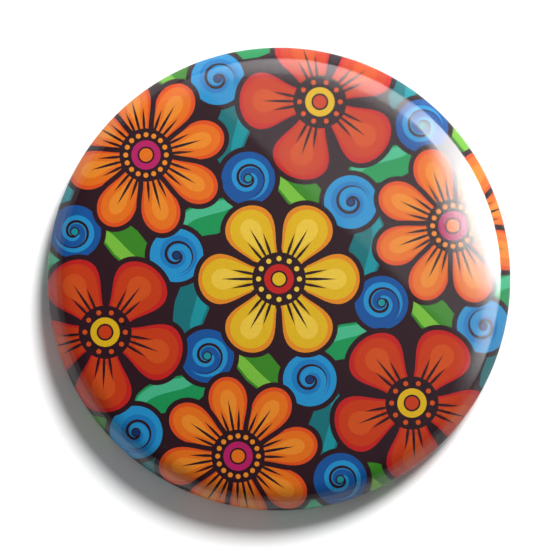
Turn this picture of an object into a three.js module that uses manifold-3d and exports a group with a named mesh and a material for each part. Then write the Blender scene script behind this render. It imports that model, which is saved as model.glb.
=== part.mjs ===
// A 58 mm button badge with a pin back.
//
// A domed steel shell carries a printed paper disc under clear film. A pressed steel back plate
// closes it, and two straps lanced from the plate hold a safety pin.
//
// Millimetres. +Z comes out of the printed face, +X is to the right and +Y is up as the badge is
// worn. The origin is the centre of the plane that the badge rests on, face up.

import * as THREE from "three";
import { mergeVertices } from "three/addons/utils/BufferGeometryUtils.js";
import Module from "manifold-3d";

const wasm = await Module();
wasm.setup();

// ---- Driving dimensions -------------------------------------------------------------------------

const BADGE_RADIUS = 29;
const FACETS = 40; // round the badge

// Layers, from the outside in, and the slack between two of them.
const FILM_THICKNESS = 0.1;
const PAPER_THICKNESS = 0.15;
const SHELL_THICKNESS = 0.3;
const LAYER_SLACK = 0.04;

// Outline of the outside of the film, from the middle of the face to the crimp at the back.
const DOME_SLOPE = THREE.MathUtils.degToRad(11); // of the face, where it meets the shoulder
const SHOULDER_RADIUS = 4.5;
const CURL_RADIUS = 2; // the roll from the widest edge to the back
const REST_RING_WIDTH = 0.8; // the flat ring that the badge rests on
const TUCK_RADIUS = 0.9; // the roll from the flat ring up into the crimp
const FILM_TUCK_TOP = 1.7; // each layer ends a little lower than the one outside it
const TUCK_STEP = 0.15;

// Back plate. Heights are of its rear face.
const PLATE_THICKNESS = 0.3;
const WEB_HEIGHT = 2.95; // the flat middle of the plate
const CREST_HEIGHT = 0.5; // the lowest line of the ring round it
const CREST_RADIUS = 0.9; // how tightly the ring is curled
const WEB_FILLET = 0.6;
const WALL_SLOPE = THREE.MathUtils.degToRad(60); // of the wall between the web and the ring
const CRIMP_GAP = 0.1; // between the tucked film and the plate's flange
const HOOK_RADIUS = 0.3; // the flange's outward hook over the tucked edge
const HOOK_LENGTH = 0.7;

// The raised pad in the middle of the plate, which carries the pin.
const PAD_HEIGHT = 2.05;
const PAD_LENGTH = 21;
const PAD_WIDTH = 11;
const PAD_CORNER = 3;

// Safety pin. It lies along X, inside the depth of the rim.
const WIRE_RADIUS = 0.4;
const PIN_HALF_LENGTH = 19;
const PIN_HEIGHT = 1.5; // of the fixed leg's axis, which the pin swivels on
const LEG_OFFSET = 2.6; // of the fixed leg from the badge's middle
const COIL_RADIUS = 2.1; // to the middle of the wire
const COIL_TURNS = 1.5;
const COIL_RISE = 1.3; // from the first turn's middle to the last one's
const LEG_BEND_LENGTH = 4; // where the fixed leg steps up to the coil
const NEEDLE_GAP = 0.3; // where the coil ends and the needle starts
const POINT_LENGTH = 6;
const POINT_STEPS = [1, 0.5, 0.16, 0]; // shares of the point's length, back from its tip
const WIRE_STEPS = 44;

// The cap, a folded sheet that shields the needle's point.
const CAP_LENGTH = 6.6;
const CAP_WIDTH = 7.1;
const CAP_HEIGHT = 1.7;
const CAP_SHEET = 0.3;
const CAP_FOLD_RADIUS = 0.6;
const CAP_CORNER = 1.5;
const CAP_SIDE = 0.85; // from the fixed leg's axis to the cap's side
const CAP_PINCH = 1.0; // the stretch between the leg and the needle where the sheet is pinched shut
const NEEDLE_SIDE_GAP = 0.9; // from the needle's axis to the cap's other side
const SLOT_WIDTH = 1.6; // the way out for the needle
const SLOT_STOP = 0.1; // from the slot's end to where the cap's corner starts to curve
const SLOT_END_GAP = 0.4; // from the needle's point to the slot's end
const LEG_FIT = 0.05; // between the fixed leg and the cap round it

// The two straps that hold the fixed leg.
const STRAP_X = 8;
const STRAP_WIDTH = 3.5;
const STRAP_INNER_RADIUS = 0.55;
const FOOT_SINK = 0.24; // how far a strap's feet reach into the plate

// ---- Solids: joining and cutting ----------------------------------------------------------------

function toSolid(geometry) {
  const bare = geometry.clone();
  bare.deleteAttribute("normal");
  bare.deleteAttribute("uv");
  const merged = mergeVertices(bare, 1e-4);
  const mesh = new wasm.Mesh({
    numProp: 3,
    vertProperties: merged.attributes.position.array,
    triVerts: new Uint32Array(merged.index.array),
  });
  return new wasm.Manifold(mesh);
}

function toGeometry(solid) {
  const mesh = solid.getMesh();
  const geometry = new THREE.BufferGeometry();
  geometry.setAttribute("position", new THREE.BufferAttribute(mesh.vertProperties, 3));
  geometry.setIndex(new THREE.BufferAttribute(mesh.triVerts, 1));
  geometry.computeVertexNormals();
  return geometry;
}

// ---- Outlines -----------------------------------------------------------------------------------

// Points on an arc in the (radius, height) plane. Angles are in quarter turns from straight up
// towards the outside.
function arc(centre, radius, from, to, steps) {
  const points = [];
  for (let i = 0; i <= steps; i++) {
    const angle = ((from + ((to - from) * i) / steps) * Math.PI) / 2;
    points.push(
      new THREE.Vector2(centre.x + radius * Math.sin(angle), centre.y + radius * Math.cos(angle)),
    );
  }
  return points;
}

// Turns a closed profile, which starts and ends on the axis, about the badge's axis.
function turned(profile) {
  const geometry = new THREE.LatheGeometry(profile, FACETS);
  return geometry.rotateX(Math.PI / 2);
}

function roundedRectangle(left, bottom, right, top, radius) {
  const shape = new THREE.Shape();
  shape.absarc(right - radius, bottom + radius, radius, -Math.PI / 2, 0);
  shape.absarc(right - radius, top - radius, radius, 0, Math.PI / 2);
  shape.absarc(left + radius, top - radius, radius, Math.PI / 2, Math.PI);
  shape.absarc(left + radius, bottom + radius, radius, Math.PI, 1.5 * Math.PI);
  shape.closePath();
  return shape;
}

// A prism standing on the plane z = bottom.
function upright(shape, bottom, top, curveSegments) {
  const options = { depth: top - bottom, bevelEnabled: false, curveSegments };
  return new THREE.ExtrudeGeometry(shape, options).translate(0, 0, bottom);
}

// A prism along X, whose outline is drawn in Y and Z.
function alongX(shape, start, end, curveSegments) {
  const options = { depth: end - start, bevelEnabled: false, curveSegments };
  const turn = new THREE.Matrix4().makeBasis(
    new THREE.Vector3(0, 1, 0),
    new THREE.Vector3(0, 0, 1),
    new THREE.Vector3(1, 0, 0),
  );
  return new THREE.ExtrudeGeometry(shape, options).applyMatrix4(turn).translate(start, 0, 0);
}

// ---- The three wrapped layers -------------------------------------------------------------------

const restRingOuter = BADGE_RADIUS - CURL_RADIUS;
const restRingInner = restRingOuter - REST_RING_WIDTH;
const tuckFace = restRingInner - TUCK_RADIUS; // radius of the tucked film's inner side

// The outline of the badge, sunk by a depth below the outside of the film.
function skinOutline(depth, tuckTop) {
  const shoulder = new THREE.Vector2(BADGE_RADIUS - SHOULDER_RADIUS, CURL_RADIUS);
  const domeRadius = shoulder.x / Math.sin(DOME_SLOPE) + SHOULDER_RADIUS;
  const dome = new THREE.Vector2(0, shoulder.y - shoulder.x / Math.tan(DOME_SLOPE));
  const curl = new THREE.Vector2(restRingOuter, CURL_RADIUS);
  const tuck = new THREE.Vector2(restRingInner, TUCK_RADIUS);
  const slope = DOME_SLOPE / (Math.PI / 2);
  return [
    ...arc(dome, domeRadius - depth, 0, slope, 3),
    ...arc(shoulder, SHOULDER_RADIUS - depth, slope, 1, 5).slice(1),
    ...arc(curl, CURL_RADIUS - depth, 1, 2, 3).slice(1),
    ...arc(tuck, TUCK_RADIUS - depth, 2, 3, 2),
    new THREE.Vector2(tuckFace + depth, tuckTop),
  ];
}

function layer(depth, thickness, tuckTop) {
  const inside = skinOutline(depth + thickness, tuckTop);
  return turned([...inside, ...skinOutline(depth, tuckTop).reverse()]);
}

const paperDepth = FILM_THICKNESS + LAYER_SLACK;
const shellDepth = paperDepth + PAPER_THICKNESS + LAYER_SLACK;
const paperTuckTop = FILM_TUCK_TOP - TUCK_STEP;
const shellTuckTop = paperTuckTop - TUCK_STEP;

// ---- Back plate ---------------------------------------------------------------------------------

const wallTurn = WALL_SLOPE / (Math.PI / 2);
const flangeFace = tuckFace - CRIMP_GAP;
const crestCentre = new THREE.Vector2(flangeFace - CREST_RADIUS, CREST_HEIGHT + CREST_RADIUS);

// The plate's outline, raised by a depth into the badge from its rear face.
function plateOutline(depth) {
  const crestStart = crestCentre.clone();
  crestStart.x -= CREST_RADIUS * Math.sin(WALL_SLOPE);
  crestStart.y -= CREST_RADIUS * Math.cos(WALL_SLOPE);
  const filletEndHeight = WEB_HEIGHT - WEB_FILLET * (1 - Math.cos(WALL_SLOPE));
  const wallRun = (filletEndHeight - crestStart.y) / Math.tan(WALL_SLOPE);
  const filletX = crestStart.x - wallRun - WEB_FILLET * Math.sin(WALL_SLOPE);
  const fillet = new THREE.Vector2(filletX, WEB_HEIGHT - WEB_FILLET);
  const hook = new THREE.Vector2(flangeFace + HOOK_RADIUS, FILM_TUCK_TOP - HOOK_RADIUS / 2);
  const hookEnd = new THREE.Vector2(hook.x + HOOK_LENGTH, hook.y + HOOK_RADIUS + depth);
  return [
    new THREE.Vector2(0, WEB_HEIGHT + depth),
    ...arc(fillet, WEB_FILLET + depth, 0, wallTurn, 2),
    ...arc(crestCentre, CREST_RADIUS - depth, 2 + wallTurn, 1, 5),
    ...arc(hook, HOOK_RADIUS + depth, 3, 4, 2),
    hookEnd,
  ];
}

// A flat-topped pad with sloping sides. Its outline grows by `slope` for each millimetre of height.
function slopedPad(inset, bottom, top, slope) {
  const halfLength = PAD_LENGTH / 2 - inset;
  const halfWidth = PAD_WIDTH / 2 - inset;
  const corner = PAD_CORNER - inset;
  const outline = roundedRectangle(-halfLength, -halfWidth, halfLength, halfWidth, corner);
  const geometry = upright(outline, bottom, top, 4);
  const position = geometry.attributes.position;
  const point = new THREE.Vector3();
  const outward = new THREE.Vector3();
  for (let i = 0; i < position.count; i++) {
    point.fromBufferAttribute(position, i);
    if (point.z < (bottom + top) / 2) continue;
    const cornerX = THREE.MathUtils.clamp(point.x, corner - halfLength, halfLength - corner);
    const cornerY = THREE.MathUtils.clamp(point.y, corner - halfWidth, halfWidth - corner);
    outward.set(point.x - cornerX, point.y - cornerY, 0).setLength(slope * (top - bottom));
    point.add(outward);
    position.setXYZ(i, point.x, point.y, point.z);
  }
  return geometry;
}

// A strap over the fixed leg, with its feet in the pad.
function strap(x) {
  const inner = STRAP_INNER_RADIUS;
  const outer = inner + PLATE_THICKNESS;
  const foot = PAD_HEIGHT + FOOT_SINK - PIN_HEIGHT;
  const outline = new THREE.Shape();
  outline.moveTo(-outer, foot);
  outline.lineTo(-outer, 0);
  outline.absarc(0, 0, outer, Math.PI, 2 * Math.PI);
  outline.lineTo(outer, foot);
  outline.lineTo(inner, foot);
  outline.absarc(0, 0, inner, 2 * Math.PI, Math.PI, true);
  outline.lineTo(-inner, foot);
  outline.closePath();
  const geometry = alongX(outline, x - STRAP_WIDTH / 2, x + STRAP_WIDTH / 2, 8);
  return geometry.translate(0, LEG_OFFSET, PIN_HEIGHT);
}

// The slot that a strap was pressed out of.
function strapWindow(x) {
  const width = 2 * STRAP_INNER_RADIUS;
  const window = new THREE.BoxGeometry(STRAP_WIDTH, width, 3 * PLATE_THICKNESS);
  return window.translate(x, LEG_OFFSET, PAD_HEIGHT + PLATE_THICKNESS / 2);
}

function backPlate() {
  const webMiddle = WEB_HEIGHT + PLATE_THICKNESS / 2;
  const pocketFloor = PAD_HEIGHT + PLATE_THICKNESS;
  const pocketTop = WEB_HEIGHT + 2 * PLATE_THICKNESS;
  const pocketInset = PLATE_THICKNESS * (Math.SQRT2 - 1); // keeps the sloping wall as thick
  const profile = [...plateOutline(0), ...plateOutline(PLATE_THICKNESS).reverse()];
  let plate = toSolid(turned(profile));
  plate = plate.add(toSolid(slopedPad(0, PAD_HEIGHT, webMiddle, 1)));
  plate = plate.subtract(toSolid(slopedPad(pocketInset, pocketFloor, pocketTop, 1)));
  for (const x of [-STRAP_X, STRAP_X]) {
    plate = plate.subtract(toSolid(strapWindow(x))).add(toSolid(strap(x)));
  }
  return toGeometry(plate);
}

// ---- Safety pin ---------------------------------------------------------------------------------

const coilX = COIL_RADIUS + WIRE_RADIUS - PIN_HALF_LENGTH;
const coilY = LEG_OFFSET - COIL_RADIUS;
const coilTop = PIN_HEIGHT + COIL_RISE / 2;
const coilBottom = PIN_HEIGHT - COIL_RISE / 2;
const capStart = PIN_HALF_LENGTH - CAP_LENGTH;
const capLeft = LEG_OFFSET + CAP_SIDE - CAP_WIDTH; // its side past the needle
const legEnd = PIN_HALF_LENGTH - CAP_CORNER;
const slotEnd = legEnd - SLOT_STOP;
const needleStart = new THREE.Vector3(coilX + NEEDLE_GAP, coilY - COIL_RADIUS, coilBottom);
const needleTip = new THREE.Vector3(slotEnd - SLOT_END_GAP, capLeft + NEEDLE_SIDE_GAP, PIN_HEIGHT);

// The wire's middle line: along the fixed leg, up its bend and down through the coil.
class WirePath extends THREE.Curve {
  constructor() {
    super();
    this.legLength = legEnd - coilX;
    this.coilLength = COIL_TURNS * 2 * Math.PI * COIL_RADIUS;
  }

  getPoint(t, target = new THREE.Vector3()) {
    const along = t * (this.legLength + this.coilLength);
    if (along < this.legLength) {
      const x = legEnd - along;
      const bend = THREE.MathUtils.smoothstep(coilX + LEG_BEND_LENGTH - x, 0, LEG_BEND_LENGTH);
      return target.set(x, LEG_OFFSET, PIN_HEIGHT + (bend * COIL_RISE) / 2);
    }
    const share = (along - this.legLength) / this.coilLength;
    const angle = Math.PI / 2 + share * COIL_TURNS * 2 * Math.PI;
    const x = coilX + COIL_RADIUS * Math.cos(angle);
    const y = coilY + COIL_RADIUS * Math.sin(angle);
    return target.set(x, y, THREE.MathUtils.lerp(coilTop, coilBottom, share));
  }
}

function pinWire() {
  const section = new THREE.Shape().absarc(0, 0, WIRE_RADIUS, 0, 2 * Math.PI);
  const options = { extrudePath: new WirePath(), steps: WIRE_STEPS, curveSegments: 4 };
  return new THREE.ExtrudeGeometry(section, options);
}

function needle(length) {
  const profile = [new THREE.Vector2(0, 0), new THREE.Vector2(WIRE_RADIUS, 0)];
  for (const share of POINT_STEPS) {
    const radius = WIRE_RADIUS * Math.sqrt(share);
    profile.push(new THREE.Vector2(radius, length - POINT_LENGTH * share));
  }
  return new THREE.LatheGeometry(profile, 12);
}

// The cap's outside, or, with an inset, the space inside it.
function capBlock(inset, start, left, right, halfHeight) {
  const end = PIN_HALF_LENGTH - inset;
  const fold = CAP_FOLD_RADIUS - inset;
  const section = roundedRectangle(left, -halfHeight, right, halfHeight, fold);
  const corner = CAP_CORNER - inset;
  const plan = new THREE.Shape();
  plan.moveTo(start, left);
  plan.lineTo(end - corner, left);
  plan.absarc(end - corner, left + corner, corner, -Math.PI / 2, 0);
  plan.absarc(end - corner, right - corner, corner, 0, Math.PI / 2);
  plan.lineTo(start, right);
  plan.closePath();
  const body = toSolid(alongX(section, start, end, 3).translate(0, 0, PIN_HEIGHT));
  return body.intersect(toSolid(upright(plan, PIN_HEIGHT - CAP_HEIGHT, PIN_HEIGHT + CAP_HEIGHT, 4)));
}

function pinCap() {
  const capRight = LEG_OFFSET + CAP_SIDE;
  const pinchLeft = LEG_OFFSET - CAP_SIDE - CAP_PINCH;
  const pastMouth = capStart - 1;
  const outside = capBlock(0, capStart, capLeft, capRight, CAP_HEIGHT / 2);
  const innerHalf = CAP_HEIGHT / 2 - CAP_SHEET;
  const pocket = capBlock(CAP_SHEET, pastMouth, capLeft + CAP_SHEET, pinchLeft, innerHalf);
  const bore = new THREE.CylinderGeometry(WIRE_RADIUS + LEG_FIT, WIRE_RADIUS + LEG_FIT, 1, 16);
  bore.rotateZ(Math.PI / 2).scale(legEnd + LEG_FIT - pastMouth, 1, 1);
  bore.translate((legEnd + LEG_FIT + pastMouth) / 2, LEG_OFFSET, PIN_HEIGHT);
  const slot = new THREE.BoxGeometry(CAP_LENGTH, SLOT_WIDTH, CAP_HEIGHT);
  slot.translate(
    slotEnd - CAP_LENGTH / 2,
    capLeft + SLOT_WIDTH / 2,
    PIN_HEIGHT - CAP_HEIGHT / 2,
  );
  return toGeometry(outside.subtract(pocket).subtract(toSolid(bore)).subtract(toSolid(slot)));
}

// ---- Materials ----------------------------------------------------------------------------------

const clearFilm = new THREE.MeshStandardMaterial({ color: "#eef2f2", roughness: 0.06, metalness: 0 });
const printedPaper = new THREE.MeshStandardMaterial({ color: "#d79a3a", roughness: 0.6, metalness: 0 });
const tinplate = new THREE.MeshStandardMaterial({ color: "#b4b6b8", roughness: 0.35, metalness: 1 });
const nickelWire = new THREE.MeshStandardMaterial({ color: "#c9c6c0", roughness: 0.2, metalness: 1 });

// ---- The badge ----------------------------------------------------------------------------------

function named(name, geometry, material) {
  const mesh = new THREE.Mesh(geometry, material);
  mesh.name = name;
  return mesh;
}

const badge = new THREE.Group();
badge.add(named("clear_film", layer(0, FILM_THICKNESS, FILM_TUCK_TOP), clearFilm));
badge.add(named("artwork_disc", layer(paperDepth, PAPER_THICKNESS, paperTuckTop), printedPaper));
badge.add(named("front_shell", layer(shellDepth, SHELL_THICKNESS, shellTuckTop), tinplate));
badge.add(named("back_plate", backPlate(), tinplate));

const safetyPin = new THREE.Group();
safetyPin.add(named("pin_wire", pinWire(), nickelWire));
safetyPin.add(named("pin_cap", pinCap(), nickelWire));

const needleRun = needleTip.clone().sub(needleStart);
const pinNeedle = named("pin_needle", needle(needleRun.length()), nickelWire);
pinNeedle.position.copy(needleStart);
pinNeedle.quaternion.setFromUnitVectors(new THREE.Vector3(0, 1, 0), needleRun.normalize());
safetyPin.add(pinNeedle);
badge.add(safetyPin);

export default badge;
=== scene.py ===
"""A 58 mm pin-back button badge: the looks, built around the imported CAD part.

The badge lies face up: +Z comes out of the printed face and +Y is up as it is worn. Sizes are in
millimetres until a mesh is made. The print is a plain repeat of flowers on an even grid, drawn by the
functions below in badge radii, and then wrapped over the dome.
"""

import math

import bpy
import numpy as np
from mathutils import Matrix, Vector
from mathutils.geometry import delaunay_2d_cdt


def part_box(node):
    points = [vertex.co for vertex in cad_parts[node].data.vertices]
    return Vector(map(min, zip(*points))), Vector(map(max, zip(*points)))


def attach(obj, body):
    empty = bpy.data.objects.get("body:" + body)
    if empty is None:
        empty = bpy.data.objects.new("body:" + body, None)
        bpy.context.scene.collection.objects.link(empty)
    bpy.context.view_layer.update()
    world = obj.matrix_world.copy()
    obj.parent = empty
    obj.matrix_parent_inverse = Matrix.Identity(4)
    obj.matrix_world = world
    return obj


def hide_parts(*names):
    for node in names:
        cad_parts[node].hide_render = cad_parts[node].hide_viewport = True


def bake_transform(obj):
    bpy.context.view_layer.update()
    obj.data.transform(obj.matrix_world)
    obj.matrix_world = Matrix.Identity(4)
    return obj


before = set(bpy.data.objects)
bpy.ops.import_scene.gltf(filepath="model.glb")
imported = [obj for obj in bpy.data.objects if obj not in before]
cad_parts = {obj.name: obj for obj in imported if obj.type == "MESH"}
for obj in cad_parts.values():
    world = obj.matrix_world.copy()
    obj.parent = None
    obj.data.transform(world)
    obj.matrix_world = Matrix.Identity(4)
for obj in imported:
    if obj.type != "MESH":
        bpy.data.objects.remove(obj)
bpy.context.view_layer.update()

MM = 0.001
FILM_BOX = [np.array(corner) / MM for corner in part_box("clear_film")]

# ---- Sizes, as in the CAD part ------------------------------------------------------------------

BADGE_RADIUS = (FILM_BOX[1][0] - FILM_BOX[0][0]) / 2
FILM_THICKNESS = 0.1
PAPER_THICKNESS = 0.15
SHELL_THICKNESS = 0.3
LAYER_SLACK = 0.04
PAPER_DEPTH = FILM_THICKNESS + LAYER_SLACK
SHELL_DEPTH = PAPER_DEPTH + PAPER_THICKNESS + LAYER_SLACK

DOME_SLOPE = math.radians(11)
SHOULDER_RADIUS = 4.5
CURL_RADIUS = 2.0
REST_RING_WIDTH = 0.8
TUCK_RADIUS = 0.9
FILM_TUCK_TOP = 1.7
TUCK_STEP = 0.15
DOME_RADIUS = (BADGE_RADIUS - SHOULDER_RADIUS) / math.sin(DOME_SLOPE) + SHOULDER_RADIUS

PLATE_THICKNESS = 0.3
WEB_HEIGHT = 2.95
CREST_HEIGHT = 0.5
CREST_RADIUS = 0.9
WEB_FILLET = 0.6
WALL_SLOPE = math.radians(60)
CRIMP_GAP = 0.1
HOOK_RADIUS = 0.3
HOOK_LENGTH = 0.7
PAD_HEIGHT = 2.05
PAD_LENGTH = 21.0
PAD_WIDTH = 11.0
PAD_CORNER = 3.0

WIRE_RADIUS = 0.4
PIN_HALF_LENGTH = 19.0
PIN_HEIGHT = 1.5
LEG_OFFSET = 2.6
COIL_RADIUS = 2.1
COIL_TURNS = 1.5
COIL_RISE = 1.3
LEG_BEND_LENGTH = 4.0
POINT_LENGTH = 6.0
CAP_LENGTH = 6.6
CAP_WIDTH = 7.1
CAP_HEIGHT = 1.7
CAP_SHEET = 0.3
CAP_FOLD_RADIUS = 0.6
CAP_CORNER = 1.5
CAP_SIDE = 0.85
CAP_PINCH = 1.0
NEEDLE_SIDE_GAP = 0.9
SLOT_WIDTH = 1.6
STRAP_X = 8.0
STRAP_WIDTH = 3.5
STRAP_OUTER_RADIUS = 0.85
STRAP_FOOT_RADIUS = 0.3

# ---- Mesh helpers -------------------------------------------------------------------------------

CUT_TOLERANCE = 1e-5  # corners nearer than this are one when a sheet is cut up
WELD_REACH = 0.02


def make_mesh(name, points, faces):
    """A smooth-shaded mesh object from points in millimetres."""
    mesh = bpy.data.meshes.new(name)
    mesh.from_pydata([tuple(p) for p in np.asarray(points) * MM], [], [list(map(int, f)) for f in faces])
    mesh.validate()
    mesh.update()
    mesh.shade_smooth()
    made = bpy.data.objects.new(name, mesh)
    bpy.context.scene.collection.objects.link(made)
    return made


def apply_modifiers(piece):
    """Makes the piece's modifiers part of its mesh."""
    depsgraph = bpy.context.evaluated_depsgraph_get()
    done = bpy.data.meshes.new_from_object(piece.evaluated_get(depsgraph))
    piece.modifiers.clear()
    piece.data = done


def thicken(piece, thickness, bevel):
    """Turns an open sheet, whose normals point out, into a closed one inside it with softened edges."""
    solid = piece.modifiers.new("Thickness", "SOLIDIFY")
    solid.thickness = thickness * MM
    solid.offset = -1
    solid.use_even_offset = True
    solid.use_quality_normals = True
    edge = piece.modifiers.new("Edges", "BEVEL")
    edge.width = bevel * MM
    edge.segments = 2
    edge.limit_method = "ANGLE"
    edge.angle_limit = math.radians(50)
    apply_modifiers(piece)


def sharpen(piece, degrees):
    """Shades the piece smooth except across edges sharper than this."""
    piece.data.shade_smooth()
    piece.data.set_sharp_from_angle(angle=math.radians(degrees))


def ring_faces(count, around):
    """Quads between rows of points that run round and round."""
    rows = np.arange(count - 1)[:, None] * around
    columns = np.arange(around)[None, :]
    following = (columns + 1) % around
    quads = [rows + columns, rows + following, rows + around + following, rows + around + columns]
    return np.stack(quads, -1).reshape(-1, 4)


# ---- The outline that film, print and shell share -----------------------------------------------

REST_OUTER = BADGE_RADIUS - CURL_RADIUS
REST_INNER = REST_OUTER - REST_RING_WIDTH
TUCK_FACE = REST_INNER - TUCK_RADIUS
DOME_END = DOME_RADIUS * DOME_SLOPE
WIDEST = DOME_END + SHOULDER_RADIUS * (math.pi / 2 - DOME_SLOPE)
CURL_END = WIDEST + CURL_RADIUS * math.pi / 2
REST_END = CURL_END + REST_RING_WIDTH
TUCK_END = REST_END + TUCK_RADIUS * math.pi / 2


def tuck_length(top):
    """How far along the outline a layer reaches that ends at this height in the crimp."""
    return TUCK_END + top - TUCK_RADIUS


def skin(along, depth):
    """(radius, height) a given way along the outline from the face's middle, and sunk by depth."""
    s = np.asarray(along, float)
    shoulder_x = BADGE_RADIUS - SHOULDER_RADIUS
    stretches = [s < DOME_END, s < WIDEST, s < CURL_END, s < REST_END, s < TUCK_END]
    dome_z = CURL_RADIUS - shoulder_x / math.tan(DOME_SLOPE)
    x = np.select(stretches, [0, shoulder_x, REST_OUTER, REST_OUTER - (s - CURL_END), REST_INNER], REST_INNER)
    z = np.select(
        stretches,
        [dome_z, CURL_RADIUS, CURL_RADIUS, CURL_RADIUS, TUCK_RADIUS],
        TUCK_RADIUS + s - TUCK_END,
    )
    radius = np.select(
        stretches, [DOME_RADIUS, SHOULDER_RADIUS, CURL_RADIUS, CURL_RADIUS, TUCK_RADIUS], TUCK_RADIUS
    )
    angle = np.select(
        stretches,
        [
            s / DOME_RADIUS,
            DOME_SLOPE + (s - DOME_END) / SHOULDER_RADIUS,
            math.pi / 2 + (s - WIDEST) / CURL_RADIUS,
            math.pi,
            math.pi + (s - REST_END) / TUCK_RADIUS,
        ],
        1.5 * math.pi,
    )
    return x + (radius - depth) * np.sin(angle), z + (radius - depth) * np.cos(angle)


PLEAT_DEPTH = 0.03
PLEATS = 76
PLEAT_START = 1.2  # past the widest edge, along the outline
PLEAT_RUN = 2.5  # to their full depth


def pleats(along, turn):
    """How far the wrapped layers all sink in small gathers behind the rim."""
    gathered = np.clip((along - WIDEST - PLEAT_START) / PLEAT_RUN, 0, 1) ** 2
    wave = np.sin(PLEATS * turn)
    wave += 0.6 * np.sin(1.37 * PLEATS * turn + 1.1)
    wave += 0.5 * np.sin(0.61 * PLEATS * turn)
    return PLEAT_DEPTH * gathered * np.clip(wave, 0, None) ** 2 / 2


def wrap(along, turn, depth):
    """Points in space for places on a layer: `along` its outline, `turn` round the badge."""
    radius, height = skin(along, depth + pleats(along, turn))
    return np.stack([radius * np.cos(turn), radius * np.sin(turn), height], -1)


def along_steps(end):
    """Places along the outline that follow its curves closely."""
    marks = [(0, DOME_END, 26), (DOME_END, WIDEST, 22), (WIDEST, CURL_END, 14)]
    marks += [(CURL_END, REST_END, 3), (REST_END, TUCK_END, 10), (TUCK_END, end, 3)]
    steps = [np.linspace(a, b, n, endpoint=False) for a, b, n in marks]
    return np.concatenate(steps + [[end]])[1:]


def wrapped_sheet(name, depth, thickness, end, around):
    """A closed thin layer that follows the badge's outline. Its inner faces use material slot 1."""
    steps = along_steps(end)
    turns = np.linspace(0, 2 * math.pi, around, endpoint=False)
    s, t = np.meshgrid(steps, turns, indexing="ij")
    outside = wrap(s, t, depth).reshape(-1, 3)
    inside = wrap(s[::-1], t[::-1], depth + thickness).reshape(-1, 3)
    middle = [(0, 0, skin(0, depth)[1]), (0, 0, skin(0, depth + thickness)[1])]
    points = np.concatenate([outside, inside, middle])
    rows = 2 * len(steps)
    quads = ring_faces(rows, around)[:, ::-1]
    first = np.arange(around)
    following = (first + 1) % around
    last = (rows - 1) * around
    top = np.full(around, rows * around)
    outer_cap = np.stack([top, first, following], -1)
    inner_cap = np.stack([top + 1, last + following, last + first], -1)
    faces = list(quads) + list(outer_cap) + list(inner_cap)
    piece = make_mesh(name, points, faces)
    inner = [i >= len(steps) * around for i in range(len(quads))] + [False] * around + [True] * around
    piece.data.materials.append(None)
    piece.data.materials.append(None)
    piece.data.polygons.foreach_set("material_index", np.array(inner, np.int32))
    return piece


# ---- Print: drawing tools -----------------------------------------------------------------------
#
# Outlines are in badge radii, +X right and +Y up, as they look from straight above. Later shapes
# cover earlier ones.

CURVE_STEPS = 10  # between two given points
SPIRAL_STEPS = 22  # in one turn
PETAL_WIDEST = 0.66  # of its length, from its foot
TONE_SIDES = (0.86, 0.15)  # where a leaf's second tone lies across it

shapes = []


def linear(colour):
    """Linear light from an 8-bit sRGB colour."""
    c = np.array(colour, float) / 255
    return np.where(c <= 0.04045, c / 12.92, ((c + 0.055) / 1.055) ** 2.4)


INK = linear((50, 30, 37))
YELLOW = linear((226, 182, 36))
LEMON = linear((238, 200, 70))
AMBER = linear((228, 140, 40))
TANGERINE = linear((234, 116, 34))
APRICOT = linear((240, 142, 46))
CORAL = linear((226, 84, 36))
RUST = linear((202, 64, 30))
COPPER = linear((212, 84, 36))
RED = linear((196, 40, 38))
MAGENTA = linear((186, 38, 102))
SKY = linear((42, 148, 206))
AZURE = linear((34, 124, 190))
COBALT = linear((32, 88, 158))
NAVY = linear((26, 60, 116))
TEAL = linear((30, 116, 122))
TURQUOISE = linear((34, 150, 160))
MINT = linear((76, 188, 142))
GREEN = linear((34, 152, 88))
LEAF = linear((64, 138, 42))
LIME = linear((126, 194, 68))
PAPER_WHITE = linear((236, 234, 228))
LINE = 0.022  # width of the ink line round petals, leaves and coiled rounds


def outset(outline, gap):
    """The outline moved outwards by a gap."""
    before = np.roll(outline, 1, axis=0)
    after = np.roll(outline, -1, axis=0)
    run = after - before
    normal = np.stack([run[:, 1], -run[:, 0]], -1)
    return outline + gap * normal / np.maximum(np.linalg.norm(normal, axis=1), 1e-9)[:, None]


def draw(outline, colour, gap=0.0):
    """Adds a shape of one colour, with a line of ink round it where a gap is given."""
    outline = np.asarray(outline, float)
    after = np.roll(outline, -1, axis=0)
    if np.sum(outline[:, 0] * after[:, 1] - after[:, 0] * outline[:, 1]) < 0:
        outline = outline[::-1]
    if gap:
        shapes.append((outset(outline, gap), INK))
    shapes.append((outline, colour))


def polar(degrees, distance=1.0, centre=(0, 0)):
    """A point at a direction and distance from a centre."""
    angle = np.radians(degrees)
    return np.stack([np.cos(angle), np.sin(angle)], -1) * np.asarray(distance)[..., None] + np.array(centre)


def curve(points):
    """A smooth line through a few points."""
    p = np.asarray(points, float)
    p = np.concatenate([2 * p[:1] - p[1:2], p, 2 * p[-1:] - p[-2:-1]])
    t = np.linspace(0, 1, CURVE_STEPS, endpoint=False)[:, None]
    line = []
    for a, b, c, d in zip(p, p[1:], p[2:], p[3:]):
        squared = (a - 2.5 * b + 2 * c - d / 2) * t**2
        cubed = (3 * (b - c) + d - a) * t**3 / 2
        line.append(b + (c - a) * t / 2 + squared + cubed)
    return np.concatenate(line + [p[-2:-1]])


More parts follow.
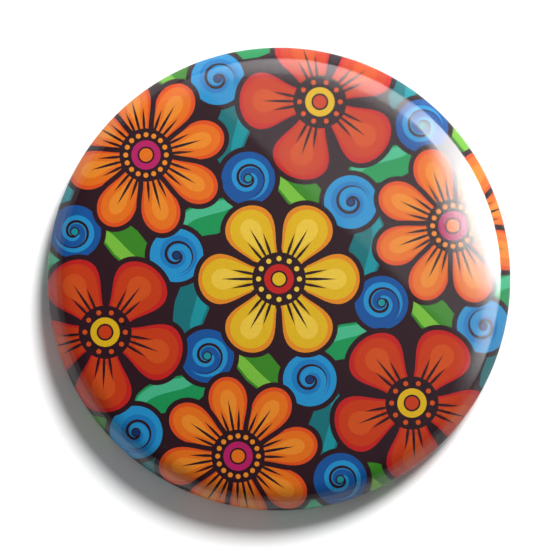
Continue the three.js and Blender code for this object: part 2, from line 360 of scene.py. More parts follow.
def stroke(line, *widths, sides=(1, -1)):
    """The outline of a band along a line. Its width runs through the given values.

    With other sides, from 1 at its left edge to -1 at its right, it is only a part of that band.
    """
    line = np.asarray(line, float)
    run = np.gradient(line, axis=0)
    run /= np.maximum(np.linalg.norm(run, axis=1), 1e-9)[:, None]
    side = np.stack([-run[:, 1], run[:, 0]], -1)
    share = np.linspace(0, 1, len(line))
    half = np.interp(share, np.linspace(0, 1, len(widths)), widths)[:, None] / 2
    left, right = sides
    return np.concatenate([line + side * half * left, (line + side * half * right)[::-1]])


def disc(centre, radius, colour, gap=0.0, points=36):
    """Draws a round spot."""
    draw(polar(np.linspace(0, 360, points, endpoint=False), radius, centre), colour, gap)


def spiral(centre, outer, inner, start, turns):
    """A line that winds inwards round a centre, anticlockwise."""
    share = np.linspace(0, 1, int(turns * SPIRAL_STEPS) + 2)
    return polar(start + 360 * turns * share, outer + (inner - outer) * share, centre)


def petal(centre, degrees, start, end, width, foot):
    """A petal's outline: narrow at its foot, and widest near its round tip."""
    tip = PETAL_WIDEST + (1 - PETAL_WIDEST) * np.sin(np.linspace(0, math.pi / 2, 12))[1:]
    u = np.concatenate([np.linspace(0, PETAL_WIDEST, 9), tip])
    rise = np.clip(u / PETAL_WIDEST, 0, 1)
    body = foot + (1 - foot) * rise * rise * (3 - 2 * rise)
    rounding = np.sqrt(np.clip(1 - ((u - PETAL_WIDEST) / (1 - PETAL_WIDEST)) ** 2, 0, 1))
    half = np.where(u < PETAL_WIDEST, body, rounding) * width / 2
    along = start + u * (end - start)
    both = np.concatenate([np.stack([along, half], -1), np.stack([along, -half], -1)[::-1]])
    way = polar(degrees)
    side = np.array([-way[1], way[0]])
    return both[:, :1] * way + both[:, 1:] * side + np.array(centre)


def streak(centre, degrees, start, end, width):
    """Draws a thin tapered mark of ink that points away from a flower's middle."""
    line = np.linspace(start, end, 9)[:, None] * polar(degrees) + np.array(centre)
    draw(stroke(line, width * 0.6, width, width * 0.6, 0), INK)


def rosette(centre, radius, start, turns, ground, band, core):
    """Draws a coiled round: a disc with a darker band winding into it."""
    disc(centre, radius, ground, LINE)
    outer = spiral(centre, radius * 0.8, radius * 0.16, start, turns)
    draw(stroke(outer, 0, radius * 0.34, radius * 0.3, radius * 0.16), band)
    inner = spiral(centre, radius * 0.7, radius * 0.12, start, turns)
    draw(stroke(inner, 0, radius * 0.1, radius * 0.11, radius * 0.05), INK)
    disc(centre, radius * 0.13, core, gap=radius * 0.05, points=20)


def leaf(line, width, colour, tone):
    """Draws a leaf along a line, pointed at both ends, with a second tone along one side of it."""
    widths = (0, width * 0.75, width, width * 0.7, 0)
    draw(stroke(line, *widths), colour, LINE)
    cut = len(line) // 9
    share = np.linspace(cut / len(line), 1 - cut / len(line), 9)
    narrowed = np.interp(share, np.linspace(0, 1, len(widths)), widths)
    narrowed[[0, -1]] = 0
    draw(stroke(line[cut:-cut], *narrowed, sides=TONE_SIDES), tone)


# ---- Print: the pattern -------------------------------------------------------------------------
#
# A plain repeat: flowers on an even triangular grid, leaves between neighbours, and a coiled round in
# each gap of the grid. Every place in it comes from the grid.

PATTERN_STEP = 0.78  # between neighbouring flowers
PATTERN_TURN = 17  # degrees from +X to the grid's first direction
FLOWER_REACH = 0.345  # from a flower's middle to its petals' tips
FLOWER_EYE = 0.115
EYE_DOT_RADIUS = 0.011
PETAL_LAYERS = (  # each one's start, how far short of the tip it ends, and shares for width and foot
    (0.07, 0, 1, 0.42),
    (0.07, 0.016, 0.82, 0.42),
    (0.14, 0.055, 0.42, 0.3),
)
PETAL_MARKS = ((-11, 0.21), (0, 0.25), (11, 0.21))  # degrees off the petal's middle, and the end
MARK_START = 0.1
MARK_WIDTH = 0.013
LEAF_WIDTH = 0.15
LEAF_SWAY = 0.1  # share of its length that a leaf bends to each side
COIL_ROUND_RADIUS = 0.115
COIL_ROUND_TURNS = 1.4
DRAWN_REACH = 1.3  # how far from the badge's middle flowers are drawn, which is round its edge
GAP_REACH = DRAWN_REACH - 0.1  # and leaves and coiled rounds
GRID_STEPS = range(-3, 4)
FLOWER_KINDS = (  # petals, their width, and the colours of edge, body, heart and eye
    (6, 0.215, AMBER, YELLOW, LEMON, RED),
    (8, 0.165, CORAL, TANGERINE, APRICOT, MAGENTA),
    (5, 0.245, RED, RUST, COPPER, YELLOW),
)


def flower(centre, turn, petals, width, edge, body, heart, eye):
    """Draws an open flower: round petals with fine marks at their feet, and an eye ringed with dots."""
    for k in range(petals):
        way = turn + 360 * k / petals
        for colour, gap, (start, short, share, foot) in zip((edge, body, heart), (LINE, 0, 0), PETAL_LAYERS):
            draw(petal(centre, way, start, FLOWER_REACH - short, width * share, foot), colour, gap)
        for lean, end in PETAL_MARKS:
            streak(centre, way + lean, MARK_START, end, MARK_WIDTH)
    disc(centre, FLOWER_EYE, INK)
    for k in range(2 * petals):
        disc(polar(180 * k / petals, FLOWER_EYE * 0.76, centre), EYE_DOT_RADIUS, heart, points=12)
    disc(centre, FLOWER_EYE * 0.55, eye)
    disc(centre, FLOWER_EYE * 0.25, body, gap=0.008, points=20)


def grid_place(i, j):
    """A place on the triangular grid, counted along its two directions."""
    return i * polar(PATTERN_TURN, PATTERN_STEP) + j * polar(PATTERN_TURN + 60, PATTERN_STEP)


def pattern():
    """Leaves first, then the coiled rounds over their ends, then the flowers."""
    grid = [(i, j) for i in GRID_STEPS for j in GRID_STEPS]
    for i, j in grid:
        start = grid_place(i + 1 / 3, j + 1 / 3)
        ends = [(i + 2 / 3, j + 2 / 3), (i - 1 / 3, j + 2 / 3), (i + 2 / 3, j - 1 / 3)]
        for end, (colour, tone) in zip(ends, ((GREEN, MINT), (LEAF, LIME), (TEAL, TURQUOISE))):
            run = grid_place(*end) - start
            side = np.array([-run[1], run[0]])
            sway = LEAF_SWAY * side
            line = curve([start, start + 0.3 * run + sway, start + 0.7 * run - sway, start + run])
            if np.linalg.norm(start + run / 2) < GAP_REACH:
                leaf(line, LEAF_WIDTH, colour, tone)
    for i, j in grid:
        for share, tints in ((1 / 3, (SKY, AZURE, NAVY)), (2 / 3, (COBALT, SKY, TURQUOISE))):
            place = grid_place(i + share, j + share)
            if np.linalg.norm(place) < GAP_REACH:
                rosette(place, COIL_ROUND_RADIUS, 90 * i + 50 * j, COIL_ROUND_TURNS, *tints)
    for i, j in grid:
        place = grid_place(i, j)
        if np.linalg.norm(place) < DRAWN_REACH:
            flower(place, 20 * i + 35 * j, *FLOWER_KINDS[(i - j) % 3])


pattern()

# ---- Print: wrapping it over the badge ----------------------------------------------------------

PRINT_AROUND = 240
PAPER_END = tuck_length(FILM_TUCK_TOP - TUCK_STEP)
PRINT_END = PAPER_END - 0.4  # how far out the outlines reach
PAPER_GRID = 1.15  # spacing of the extra points that let the paper follow the dome
PRINT_STRENGTH = 0.68  # darkens the inks, so that the lit print is as bright as the photo's
SEEN_STEPS = np.linspace(0, WIDEST, 500)
SEEN_RADII = skin(SEEN_STEPS, PAPER_DEPTH)[0] / (BADGE_RADIUS - PAPER_DEPTH)


def unroll(places):
    """From places as seen from above, in badge radii, to places on the flat paper in millimetres.

    Places past the badge's edge go on behind it, and crowd together before the paper ends.
    """
    seen = np.linalg.norm(places, axis=1)
    length = np.interp(seen, SEEN_RADII, SEEN_STEPS) + np.clip(seen - 1, 0, None) * BADGE_RADIUS
    room = PRINT_END - CURL_END
    crowded = CURL_END + room * (1 - np.exp(-np.clip(length - CURL_END, 0, None) / room))
    length = np.where(length > CURL_END, crowded, length)
    return places * (length / np.maximum(seen, 1e-9))[:, None]


def print_network():
    """Cuts the flat paper into triangles along every outline, and says which shape each shows."""
    points = []
    edges = []
    faces = []

    def loop(outline):
        first = len(points)
        points.extend(outline)
        return list(range(first, len(points)))

    turns = np.degrees(np.linspace(0, 2 * math.pi, PRINT_AROUND, endpoint=False))
    faces.append(loop(polar(turns, PAPER_END)))
    for length in along_steps(PAPER_END)[:-1]:
        if length < DOME_END:
            continue
        ring = loop(polar(turns, length))
        edges.extend(zip(ring, ring[1:] + ring[:1]))
    for x in np.arange(-DOME_END, DOME_END, PAPER_GRID):
        for y in np.arange(-DOME_END, DOME_END, PAPER_GRID):
            if math.hypot(x, y) < DOME_END - 0.5:
                points.append((x, y))
    for outline, _ in shapes:
        faces.append(loop(unroll(outline)))
    flat_points = [Vector((float(x), float(y))) for x, y in points]
    found = delaunay_2d_cdt(flat_points, edges, faces, 0, CUT_TOLERANCE, True)
    places = np.array([tuple(v) for v in found[0]])
    triangles = []
    covers = []
    for face, sources in zip(found[2], found[5]):
        if sources:
            triangles.append(face)
            covers.append(max(sources))
    return places, triangles, covers


def artwork(name):
    """The printed paper, with its colours at its corners."""
    places, triangles, covers = print_network()
    length = np.linalg.norm(places, axis=1)
    turn = np.arctan2(places[:, 1], places[:, 0])
    front = wrap(length, turn, PAPER_DEPTH)
    rim = np.nonzero(length > PAPER_END - 0.01)[0]
    rim = rim[np.argsort(turn[rim])]
    steps = along_steps(PAPER_END)[::-1]
    s, t = np.meshgrid(steps, turn[rim], indexing="ij")
    back = wrap(s, t, PAPER_DEPTH + PAPER_THICKNESS).reshape(-1, 3)
    middle = (0, 0, skin(0, PAPER_DEPTH + PAPER_THICKNESS)[1])
    count = len(front)
    around = len(rim)
    quads = ring_faces(len(steps), around)[:, ::-1] + count
    following = np.roll(np.arange(around), -1)
    edge = np.stack([rim, count + np.arange(around), count + following, rim[following]], -1)
    last = count + (len(steps) - 1) * around
    hub = count + len(back)
    fan = np.stack([np.full(around, hub), last + following, last + np.arange(around)], -1)
    faces = [list(f) for f in triangles] + edge.tolist() + quads.tolist() + fan.tolist()
    piece = make_mesh(name, np.concatenate([front, back, [middle]]), faces)
    colours = piece.data.color_attributes.new("Print", "FLOAT_COLOR", "CORNER")
    tints = np.ones((len(piece.data.loops), 4), np.float32)
    tints[:, :3] = PAPER_WHITE
    inks = np.array([INK] + [colour for _, colour in shapes])
    shown = np.repeat(covers, [len(f) for f in triangles])
    tints[: len(shown), :3] = PRINT_STRENGTH * inks[shown]
    colours.data.foreach_set("color", tints.ravel())
    return piece


# ---- Back plate ---------------------------------------------------------------------------------

FLANGE_FACE = TUCK_FACE - CRIMP_GAP
CREST_X = FLANGE_FACE - CREST_RADIUS
CREST_Z = CREST_HEIGHT + CREST_RADIUS
PLATE_AROUND = 128
CORNER_STEPS = 8
STRAP_REACH = STRAP_OUTER_RADIUS + STRAP_FOOT_RADIUS
WALL_ROUNDING = 0.12
PAD_CLEAR_RADIUS = 13.5  # a circle wider than this misses the pad
PAD_RINGS = (-1.2, -0.3, -0.12, 0.0, 0.12, 0.3, 0.45, 0.6, 0.78, 0.9, 1.02, 1.2)  # out from its edge


def plate_profile():
    """(radius, height) of the plate's rear face, from the edge of its flat middle to the hook."""
    wall_x = CREST_X - CREST_RADIUS * math.sin(WALL_SLOPE)
    wall_z = CREST_Z - CREST_RADIUS * math.cos(WALL_SLOPE)
    fillet_end = WEB_HEIGHT - WEB_FILLET * (1 - math.cos(WALL_SLOPE))
    run = (fillet_end - wall_z) / math.tan(WALL_SLOPE)
    fillet_x = wall_x - run - WEB_FILLET * math.sin(WALL_SLOPE)
    turn = np.linspace(0, WALL_SLOPE, 7)
    fillet_z = WEB_HEIGHT - WEB_FILLET
    fillet = [(fillet_x + WEB_FILLET * math.sin(a), fillet_z + WEB_FILLET * math.cos(a)) for a in turn]
    turn = np.linspace(math.pi + WALL_SLOPE, math.pi / 2, 22)
    crest = [(CREST_X + CREST_RADIUS * math.sin(a), CREST_Z + CREST_RADIUS * math.cos(a)) for a in turn]
    turn = np.linspace(1.5 * math.pi, 2 * math.pi, 7)
    hook_x = FLANGE_FACE + HOOK_RADIUS
    hook_z = FILM_TUCK_TOP - HOOK_RADIUS / 2
    hook = [(hook_x + HOOK_RADIUS * math.sin(a), hook_z + HOOK_RADIUS * math.cos(a)) for a in turn]
    return fillet + crest + hook + [(hook_x + HOOK_LENGTH, hook_z + HOOK_RADIUS)]


def rounded_rectangle(half_length, half_width, corner):
    """Points round a rectangle with round corners, anticlockwise."""
    points = []
    for quarter, (sx, sy) in enumerate(((1, 1), (-1, 1), (-1, -1), (1, -1))):
        centre = (sx * (half_length - corner), sy * (half_width - corner))
        turn = np.linspace(90 * quarter, 90 * quarter + 90, CORNER_STEPS)
        points.append(polar(turn, corner, centre))
    return np.concatenate(points)


def pad_height(places):
    """The rear face's height at places on the flat middle: lower on the pad, with soft edges."""
    corner = np.array([PAD_LENGTH / 2 - PAD_CORNER, PAD_WIDTH / 2 - PAD_CORNER])
    outside = np.linalg.norm(np.maximum(np.abs(places) - corner, 0), axis=1) - PAD_CORNER
    rise = WEB_HEIGHT - PAD_HEIGHT
    low = (np.sqrt(outside**2 + WALL_ROUNDING**2) + outside) / 2
    high = (np.sqrt((outside - rise) ** 2 + WALL_ROUNDING**2) + outside - rise) / 2
    return PAD_HEIGHT + low - high


def strap_strip(x):
    """A grid of points over one strap's rear face, from one foot to the other."""
    foot = STRAP_FOOT_RADIUS
    outer = STRAP_OUTER_RADIUS
    turn = np.linspace(0, math.pi / 2, 6)
    first = np.stack([foot * np.sin(turn) - foot - outer, PAD_HEIGHT - foot + foot * np.cos(turn)], -1)
    turn = np.linspace(0, math.pi, 19)
    arch = np.stack([-outer * np.cos(turn), PIN_HEIGHT - outer * np.sin(turn)], -1)
    path = np.concatenate([first, arch, first[::-1] * [-1, 1]])
    path[:, 0] += LEG_OFFSET
    across = np.linspace(-STRAP_WIDTH / 2, STRAP_WIDTH / 2, 7) + x
    return np.array([[(a, y, z) for a in across] for y, z in path])


def back_plate(name):
    """The pressed plate: a flat middle with a pad and two lanced straps, and a rolled rim."""
    profile = plate_profile()
    turns = np.degrees(np.linspace(0, 2 * math.pi, PLATE_AROUND, endpoint=False))
    flat_end = profile[0][0]
    points = []
    edges = []

    def loop(outline):
        first = len(points)
        points.extend(map(tuple, outline))
        ring = list(range(first, len(points)))
        edges.extend(zip(ring, ring[1:] + ring[:1]))
        return ring

    outer = loop(polar(turns, flat_end))
    for radius in np.linspace(4, flat_end - 2, 7):
        if radius > PAD_CLEAR_RADIUS:
            loop(polar(turns[::2], radius))
    for offset in PAD_RINGS:
        loop(rounded_rectangle(PAD_LENGTH / 2 + offset, PAD_WIDTH / 2 + offset, PAD_CORNER + offset))
    strips = [strap_strip(x) for x in (-STRAP_X, STRAP_X)]
    holes = []
    for strip in strips:
        feet = np.concatenate([strip[0, :, :2], strip[-1, ::-1, :2]])
        holes.append(loop(feet))
    found = delaunay_2d_cdt([Vector(p) for p in points], edges, [outer], 1, CUT_TOLERANCE, True)
    places = np.array([tuple(v) for v in found[0]])
    kept = []
    for face in found[2]:
        middle = places[list(face)].mean(0)
        inside = [abs(middle[0] - x) < STRAP_WIDTH / 2 and abs(middle[1] - LEG_OFFSET) < STRAP_REACH
                  for x in (-STRAP_X, STRAP_X)]
        if not any(inside):
            kept.append(list(face)[::-1])
    height = pad_height(places)
    all_points = [np.column_stack([places, height])]
    faces = kept
    count = len(places)
    for strip in strips:
        rows, columns = strip.shape[:2]
        all_points.append(strip.reshape(-1, 3))
        for i in range(rows - 1):
            for j in range(columns - 1):
                a = count + i * columns + j
                faces.append([a, a + columns, a + columns + 1, a + 1])
        count += rows * columns
    rim = np.array([[(r * math.cos(a), r * math.sin(a), z) for a in np.radians(turns)] for r, z in profile])
    all_points.append(rim.reshape(-1, 3))
    faces.extend((ring_faces(len(profile), PLATE_AROUND)[:, ::-1] + count).tolist())
    piece = make_mesh(name, np.concatenate(all_points), faces)
    weld = piece.modifiers.new("Weld", "WELD")
    weld.merge_threshold = WELD_REACH * MM
    apply_modifiers(piece)
    thicken(piece, PLATE_THICKNESS, bevel=0.03)
    sharpen(piece, 45)
    return piece


# ---- Safety pin ---------------------------------------------------------------------------------

COIL_X = COIL_RADIUS + WIRE_RADIUS - PIN_HALF_LENGTH
COIL_Y = LEG_OFFSET - COIL_RADIUS
COIL_TOP = PIN_HEIGHT + COIL_RISE / 2
COIL_BOTTOM = PIN_HEIGHT - COIL_RISE / 2
CAP_START = PIN_HALF_LENGTH - CAP_LENGTH
CAP_LEFT = LEG_OFFSET + CAP_SIDE - CAP_WIDTH
CAP_RIGHT = LEG_OFFSET + CAP_SIDE
LEG_END = PIN_HALF_LENGTH - CAP_CORNER
SLOT_STOP = 0.1  # from the slot's end to where the cap's corner starts to curve
SLOT_END_GAP = 0.4  # from the needle's point to the slot's end
SLOT_END = LEG_END - SLOT_STOP
NEEDLE_TIP = np.array([SLOT_END - SLOT_END_GAP, CAP_LEFT + NEEDLE_SIDE_GAP, PIN_HEIGHT])
WIRE_SIDES = 20
TIP_SHARE = 0.04  # of the wire's radius, left at the needle's tip


def wire_line():
    """Points and wire radii along the pin: its fixed leg, its coil and its needle."""
    bend_start = COIL_X + LEG_BEND_LENGTH
    x = np.concatenate([np.linspace(LEG_END, bend_start, 18), np.linspace(bend_start, COIL_X, 16)[1:]])
    bend = np.clip((bend_start - x) / LEG_BEND_LENGTH, 0, 1)
    bend = bend * bend * (3 - 2 * bend)
    leg = np.stack([x, np.full(len(x), LEG_OFFSET), PIN_HEIGHT + bend * COIL_RISE / 2], -1)
    share = np.linspace(0, 1, 91)[1:]
    turn = math.pi / 2 + share * COIL_TURNS * 2 * math.pi
    coil = np.stack([COIL_X + COIL_RADIUS * np.cos(turn), COIL_Y + COIL_RADIUS * np.sin(turn),
                     COIL_TOP + (COIL_BOTTOM - COIL_TOP) * share], -1)
    run = NEEDLE_TIP - coil[-1]
    length = np.linalg.norm(run)
    along = np.concatenate([np.linspace(0, length - POINT_LENGTH, 20)[1:],
                            length - POINT_LENGTH * np.linspace(1, 0, 14)[1:] ** 1.5])
    needle = coil[-1] + along[:, None] / length * run
    points = np.concatenate([leg, coil, needle])
    left = np.concatenate([np.full(len(leg) + len(coil), length), length - along])
    radius = WIRE_RADIUS * np.sqrt(np.clip(left / POINT_LENGTH, TIP_SHARE**2, 1))
    return points, radius


def pin_wire(name):
    """One round wire swept along the pin's line."""
    points, radius = wire_line()
    run = np.gradient(points, axis=0)
    run /= np.linalg.norm(run, axis=1)[:, None]
    up = np.array([0.0, 0, 1])
    side = np.cross(up, run)
    side /= np.linalg.norm(side, axis=1)[:, None]
    lift = np.cross(run, side)
    turn = np.linspace(0, 2 * math.pi, WIRE_SIDES, endpoint=False)
    start_cap = [(0, 0.02), (0.45, 0.06), (0.8, 0.2)]
    rows = [points[0] - run[0] * (shift - 0.2) + radius[0] * share * (
        np.cos(turn)[:, None] * side[0] + np.sin(turn)[:, None] * lift[0]) for share, shift in start_cap]
    rows += [p + r * (np.cos(turn)[:, None] * a + np.sin(turn)[:, None] * b)
             for p, r, a, b in zip(points, radius, side, lift)]
    count = len(rows)
    faces = ring_faces(count, WIRE_SIDES)[:, ::-1].tolist()
    faces.append(list(range(WIRE_SIDES)))
    faces.append(list(range(count * WIRE_SIDES - 1, (count - 1) * WIRE_SIDES - 1, -1)))
    return make_mesh(name, np.concatenate(rows), faces)


CAP_GROOVE_Y = LEG_OFFSET - CAP_SIDE - CAP_PINCH / 2
CAP_GROOVE_WIDTH = 0.42
CAP_GROOVE_DEPTH = 0.38
CAP_GROOVE_FADE = 1.6  # length at the cap's end over which the groove runs out


def cap_section(x):
    """Points round the cap at one place along it."""
    past = max(x - LEG_END, 0)
    inset = CAP_CORNER - math.sqrt(max(CAP_CORNER**2 - past**2, 0))
    past = max(x - (PIN_HALF_LENGTH - CAP_FOLD_RADIUS), 0)
    half = CAP_HEIGHT / 2 - CAP_FOLD_RADIUS + math.sqrt(max(CAP_FOLD_RADIUS**2 - past**2, 0))
    left = CAP_LEFT + inset
    right = CAP_RIGHT - inset
    fold = min(CAP_FOLD_RADIUS, half)
    turn = np.linspace(0, math.pi / 2, 7)
    across = np.linspace(CAP_LEFT + SLOT_WIDTH, right - fold, 17)[:-1]
    side = np.stack([left + fold * (1 - np.sin(turn)), half - fold * (1 - np.cos(turn))], -1)[::-1]
    other = np.stack([right - fold * (1 - np.sin(turn)), half - fold * (1 - np.cos(turn))], -1)
    middle = np.stack([across, np.full(len(across), half)], -1)
    top = np.concatenate([[(left, 0)], side, middle, other, [(right, 0)]])
    bottom = (top * [1, -1])[::-1][1:-1]
    section = np.concatenate([top, bottom])
    closing = min(max((PIN_HALF_LENGTH - x) / CAP_GROOVE_FADE, 0), 1)
    groove = CAP_GROOVE_DEPTH * closing * np.exp(-(((section[:, 0] - CAP_GROOVE_Y) / CAP_GROOVE_WIDTH) ** 2))
    section[:, 1] -= np.sign(section[:, 1]) * groove
    return np.column_stack([np.full(len(section), x), section[:, 0], section[:, 1] + PIN_HEIGHT])


def pin_cap(name):
    """The folded cap, with its mouth towards the coil and a slot for the needle at its back."""
    stations = np.concatenate([
        np.linspace(CAP_START, SLOT_END - 0.6, 9),
        [SLOT_END],
        PIN_HALF_LENGTH - (PIN_HALF_LENGTH - SLOT_END - 0.15) * np.cos(np.linspace(0, math.pi / 2, 12)),
    ])
    rows = [cap_section(x) for x in stations]
    around = len(rows[0])
    quads = ring_faces(len(rows), around)
    points = np.concatenate(rows)
    middles = points[quads].mean(1)
    in_slot = (middles < [SLOT_END, CAP_LEFT + SLOT_WIDTH, PIN_HEIGHT]).all(1)
    faces = quads[~in_slot].tolist()
    last = (len(rows) - 1) * around
    faces.append(list(range(last, last + around)))
    piece = make_mesh(name, points, faces)
    thicken(piece, CAP_SHEET, bevel=0.04)
    sharpen(piece, 40)
    return piece


# ---- Materials ----------------------------------------------------------------------------------


class Nodes:
    """A material's node tree, with short ways to add to it."""

    def __init__(self, name):
        self.material = bpy.data.materials.new(name)
        self.material.use_nodes = True
        self.tree = self.material.node_tree
        self.tree.nodes.clear()
        self.output = self.tree.nodes.new("ShaderNodeOutputMaterial")

    def add(self, kind, **values):
        node = self.tree.nodes.new("ShaderNode" + kind)
        for key, value in values.items():
            setattr(node, key, value)
        return node

    def link(self, source, target):
        self.tree.links.new(source, target)

    def surface(self, socket):
        self.link(socket, self.output.inputs["Surface"])

    def principled(self, **values):
        shader = self.add("BsdfPrincipled")
        for key, value in values.items():
            shader.inputs[key.capitalize()].default_value = value
        self.surface(shader.outputs[0])
        return shader

    def noise(self, scale, detail, stretch=(1, 1, 1)):
        """Noise over the object's own coordinates, in metres times `scale`."""
        place = self.add("TexCoord")
        mapping = self.add("Mapping")
        mapping.inputs["Scale"].default_value = stretch
        self.link(place.outputs["Object"], mapping.inputs["Vector"])
        noise = self.add("TexNoise")
        noise.inputs["Scale"].default_value = scale
        noise.inputs["Detail"].default_value = detail
        self.link(mapping.outputs[0], noise.inputs["Vector"])
        return noise.outputs[0]

    def span(self, value, low, high, first, second):
        """Maps a value's range to another one."""
        node = self.add("MapRange")
        for key, number in (("From Min", low), ("From Max", high), ("To Min", first), ("To Max", second)):
            node.inputs[key].default_value = number
        self.link(value, node.inputs["Value"])
        return node.outputs["Result"]

    def bump(self, height, shader, distance, strength=1.0):
        node = self.add("Bump")
        node.inputs["Strength"].default_value = strength
        node.inputs["Distance"].default_value = distance
        self.link(height, node.inputs["Height"])
        self.link(node.outputs[0], shader.inputs["Normal"])

    def tint(self, colour, value, share, target):
        """Makes a colour darker and lighter by a value between 0 and 1."""
        mix = self.add("Mix", data_type="RGBA", blend_type="MULTIPLY")
        mix.inputs["Factor"].default_value = 1.0
        shade = self.span(value, 0, 1, 1 - share, 1 + share)
        if isinstance(colour, bpy.types.NodeSocket):
            self.link(colour, mix.inputs[6])
        else:
            mix.inputs[6].default_value = (*colour, 1)
        self.link(shade, mix.inputs[7])
        self.link(mix.outputs[2], target)


def print_material():
    """Inks on smooth paper, laid down a little unevenly."""
    n = Nodes("Printed paper")
    shader = n.principled(roughness=0.6)
    shader.inputs["Specular IOR Level"].default_value = 0.0
    inks = n.add("VertexColor", layer_name="Print")
    n.tint(inks.outputs["Color"], n.noise(5200, 4), 0.16, shader.inputs["Base Color"])
    n.bump(n.noise(2600, 2), shader, 0.00001, 0.3)
    return n.material


STRAIGHT_GLOSS = 0.05  # share of light that the film reflects at right angles
GRAZING_GLOSS = 0.3  # and nearly edge on


def film_material():
    """Clear polyester film: nothing but its gloss, stronger at a slant."""
    n = Nodes("Clear film")
    clear = n.add("BsdfTransparent")
    gloss = n.add("BsdfGlossy")
    gloss.inputs["Roughness"].default_value = 0.045
    slant = n.add("LayerWeight")
    slant.inputs["Blend"].default_value = 0.5
    power = n.add("Math", operation="POWER")
    power.inputs[1].default_value = 5.0
    n.link(slant.outputs["Facing"], power.inputs[0])
    waves = n.add("Bump")
    waves.inputs["Strength"].default_value = 0.25
    waves.inputs["Distance"].default_value = 0.00003
    n.link(n.noise(140, 2), waves.inputs["Height"])
    n.link(waves.outputs[0], gloss.inputs["Normal"])
    mix = n.add("MixShader")
    n.link(n.span(power.outputs[0], 0, 1, STRAIGHT_GLOSS, GRAZING_GLOSS), mix.inputs[0])
    n.link(clear.outputs[0], mix.inputs[1])
    n.link(gloss.outputs[0], mix.inputs[2])
    n.surface(mix.outputs[0])
    return n.material


def film_inside_material():
    """The film's inner side, which lies on the print and adds no gloss of its own."""
    n = Nodes("Clear film, inside")
    n.surface(n.add("BsdfTransparent").outputs[0])
    return n.material


def metal_material(name, colour, roughness, grain, stretch, bump):
    """Bare or plated metal with faint clouding, and fine lines along the axis whose stretch is 1."""
    n = Nodes(name)
    shader = n.principled(metallic=1.0)
    lines = n.noise(grain, 4, stretch)
    clouds = n.noise(160, 3)
    n.tint(colour, clouds, 0.14, shader.inputs["Base Color"])
    n.link(n.span(lines, 0.25, 0.75, roughness * 0.75, roughness * 1.3), shader.inputs["Roughness"])
    n.bump(lines, shader, bump)
    return n.material


def floor_material():
    """A matt white sweep."""
    n = Nodes("Floor")
    shader = n.principled(roughness=0.9)
    shader.inputs["Specular IOR Level"].default_value = 0.0
    n.tint((0.92, 0.92, 0.92), n.noise(9, 2), 0.01, shader.inputs["Base Color"])
    return n.material


# ---- The pieces ---------------------------------------------------------------------------------

FILM_AROUND = 256
SHELL_AROUND = 160


def place_piece(piece, body, slot, material, *nodes):
    """Gives a piece its finish and its body, and lets it stand for its CAD nodes."""
    if len(piece.data.materials) == 0:
        piece.data.materials.append(material)
    piece.data.materials[0] = material
    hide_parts(*nodes)
    if body:
        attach(piece, body)
    return piece


tinplate = metal_material("Satin tinplate", (0.62, 0.63, 0.64), 0.3, 900, (1, 14, 14), 0.000004)
shell_steel = metal_material("Bare tinplate", (0.55, 0.56, 0.57), 0.35, 700, (12, 1, 12), 0.000004)
nickel = metal_material("Nickel plate", (0.66, 0.64, 0.60), 0.16, 1500, (1, 10, 10), 0.000002)

film = wrapped_sheet("film", 0, FILM_THICKNESS, tuck_length(FILM_TUCK_TOP), FILM_AROUND)
film.data.materials[1] = film_inside_material()
place_piece(film, "badge", "film", film_material(), "clear_film")
place_piece(artwork("artwork"), "badge", "print", print_material(), "artwork_disc")
shell_end = tuck_length(FILM_TUCK_TOP - 2 * TUCK_STEP)
shell = wrapped_sheet("steel_dome", SHELL_DEPTH, SHELL_THICKNESS, shell_end, SHELL_AROUND)
shell.data.materials[1] = shell_steel
place_piece(shell, "badge", "shell_steel", shell_steel, "front_shell")
place_piece(back_plate("plate"), "badge", "back_steel", tinplate, "back_plate")

wire = place_piece(pin_wire("wire"), None, "pin_nickel", nickel, "pin_wire", "pin_needle")
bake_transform(wire)
place_piece(pin_cap("cap"), "safety_pin", "pin_nickel", nickel, "pin_cap")

# ---- Floor, lights and camera -------------------------------------------------------------------

FLOOR_SIZE = 6.0  # metres
CAMERA_DISTANCE = 0.6  # metres
BADGE_SHARE = 0.833  # of the picture's width
SENSOR = 36.0  # millimetres across

floor_corners = np.array([(-1, -1, 0), (1, -1, 0), (1, 1, 0), (-1, 1, 0)]) * FLOOR_SIZE / 2 / MM
floor = make_mesh("floor", floor_corners, [(0, 1, 2, 3)])
floor.data.materials.append(floor_material())


def from_badge(azimuth, elevation=0):
    """A way out from the badge, which is also the place one metre off that way."""
    flat_way = polar(azimuth, math.cos(math.radians(elevation)))
    return Vector((*flat_way, math.sin(math.radians(elevation))))


def sun_light(name, place, width_degrees, strength):
    """A soft distant light from the side of `place`, which mirrors don't show."""
    lamp = bpy.data.lights.new(name, "SUN")
    lamp.angle = math.radians(width_degrees)
    lamp.energy = strength
    made = bpy.data.objects.new(name, lamp)
    made.rotation_euler = (-Vector(place)).to_track_quat("-Z", "Y").to_euler()
    made.visible_glossy = False
    bpy.context.scene.collection.objects.link(made)


def area_light(name, place, width, height, radiance):
    """A rectangular light of a known brightness that faces the badge. Mirrors don't show it."""
    lamp = bpy.data.lights.new(name, "AREA")
    lamp.shape = "RECTANGLE"
    lamp.size = width
    lamp.size_y = height
    lamp.energy = radiance * math.pi * width * height
    made = bpy.data.objects.new(name, lamp)
    made.location = place
    made.rotation_euler = (-Vector(place)).to_track_quat("-Z", "Y").to_euler()
    made.visible_camera = False
    made.visible_glossy = False
    bpy.context.scene.collection.objects.link(made)


sun_light("Key", from_badge(62, 40), width_degrees=22, strength=5.8)
area_light("Low fill", from_badge(190, 16), width=0.8, height=0.25, radiance=2.2)

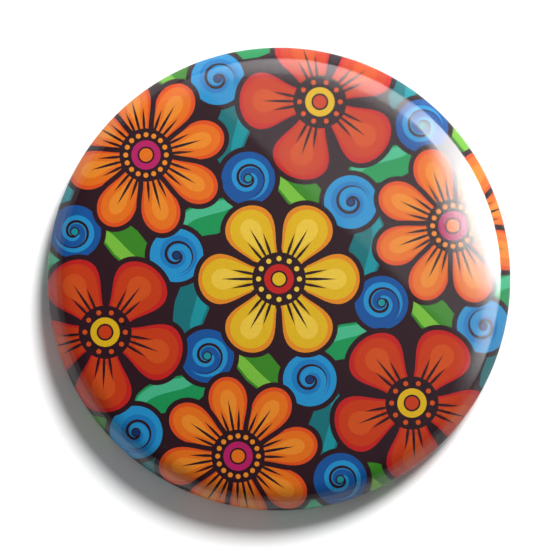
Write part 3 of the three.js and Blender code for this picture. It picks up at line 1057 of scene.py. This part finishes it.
# What the film and the metal mirror: glowing parts of a dark room. Each has a brightness and some
# limits: a way, how far along it the glow starts, and how far along it is full. Where they overlap,
# the brightest shows.
UP = (0, 0, 1)
GLOWS = (
    # low all round
    (0.5, [(UP, 0.42, 0.22)]),
    # broad and faint, towards the upper right
    (0.4, [(from_badge(43, 20), -0.05, 0.75)]),
    # high, with one sharp side
    (1.15, [(from_badge(46), 0.16, 0.18), (UP, 0.45, 0.62)]),
    # bright, over the right and upper right
    (8.0, [(UP, 0.95, 0.87), (UP, 0.0, 0.3), (from_badge(60), -0.1, 0.25), (from_badge(30), -0.2, 0.8)]),
    # brightest, over a smaller part of that side
    (34.0, [(from_badge(10), 0.32, 0.43), (from_badge(82), -0.05, 0.24),
            (from_badge(-46), -0.35, 0.45), (UP, -0.02, 0.14)]),
)
DULL_SKY = 0.19  # what the sky adds to every matt surface


def sky():
    """White for the camera, dull for shading, and a dark room with glowing lamps for mirrors."""
    world = bpy.data.worlds.new("Studio")
    world.use_nodes = True
    bpy.context.scene.world = world
    tree = world.node_tree
    tree.nodes.clear()
    add = tree.nodes.new
    link = tree.links.new

    def combine(kind, first, second):
        node = add("ShaderNodeMath")
        node.operation = kind
        link(first, node.inputs[0])
        link(second, node.inputs[1])
        return node.outputs[0]

    def within(way, low, high):
        along = add("ShaderNodeVectorMath")
        along.operation = "DOT_PRODUCT"
        along.inputs[1].default_value = way
        link(place.outputs["Generated"], along.inputs[0])
        limit = add("ShaderNodeMapRange")
        limit.interpolation_type = "SMOOTHSTEP"
        limit.inputs["From Min"].default_value = low
        limit.inputs["From Max"].default_value = high
        link(along.outputs["Value"], limit.inputs["Value"])
        return limit.outputs["Result"]

    paths = add("ShaderNodeLightPath")
    place = add("ShaderNodeTexCoord")
    brightest = None
    for brightness, limits in GLOWS:
        glow = within(*limits[0])
        for limit in limits[1:]:
            glow = combine("MULTIPLY", glow, within(*limit))
        scaled = add("ShaderNodeMath")
        scaled.operation = "MULTIPLY"
        scaled.inputs[1].default_value = brightness
        link(glow, scaled.inputs[0])
        brightest = combine("MAXIMUM", brightest, scaled.outputs[0]) if brightest else scaled.outputs[0]
    mirrored, plain, white = [add("ShaderNodeBackground") for _ in range(3)]
    for background in (mirrored, plain, white):
        background.inputs["Color"].default_value = (1, 1, 1, 1)
    link(brightest, mirrored.inputs["Strength"])
    plain.inputs["Strength"].default_value = DULL_SKY
    white.inputs["Strength"].default_value = 1.0
    in_gloss, to_camera = add("ShaderNodeMixShader"), add("ShaderNodeMixShader")
    link(paths.outputs["Is Glossy Ray"], in_gloss.inputs[0])
    link(plain.outputs[0], in_gloss.inputs[1])
    link(mirrored.outputs[0], in_gloss.inputs[2])
    link(paths.outputs["Is Camera Ray"], to_camera.inputs[0])
    link(in_gloss.outputs[0], to_camera.inputs[1])
    link(white.outputs[0], to_camera.inputs[2])
    link(to_camera.outputs[0], add("ShaderNodeOutputWorld").inputs["Surface"])


sky()

scene = bpy.context.scene
scene.view_settings.view_transform = "Standard"
lens_data = bpy.data.cameras.new("Camera")
view_width = 2 * BADGE_RADIUS * MM / BADGE_SHARE
lens_data.sensor_width = SENSOR
lens_data.lens = SENSOR * (CAMERA_DISTANCE - CURL_RADIUS * MM) / view_width
lens_data.clip_end = 20
camera = bpy.data.objects.new("Camera", lens_data)
camera.location = (0, 0, CAMERA_DISTANCE)
scene.collection.objects.link(camera)
scene.camera = camera
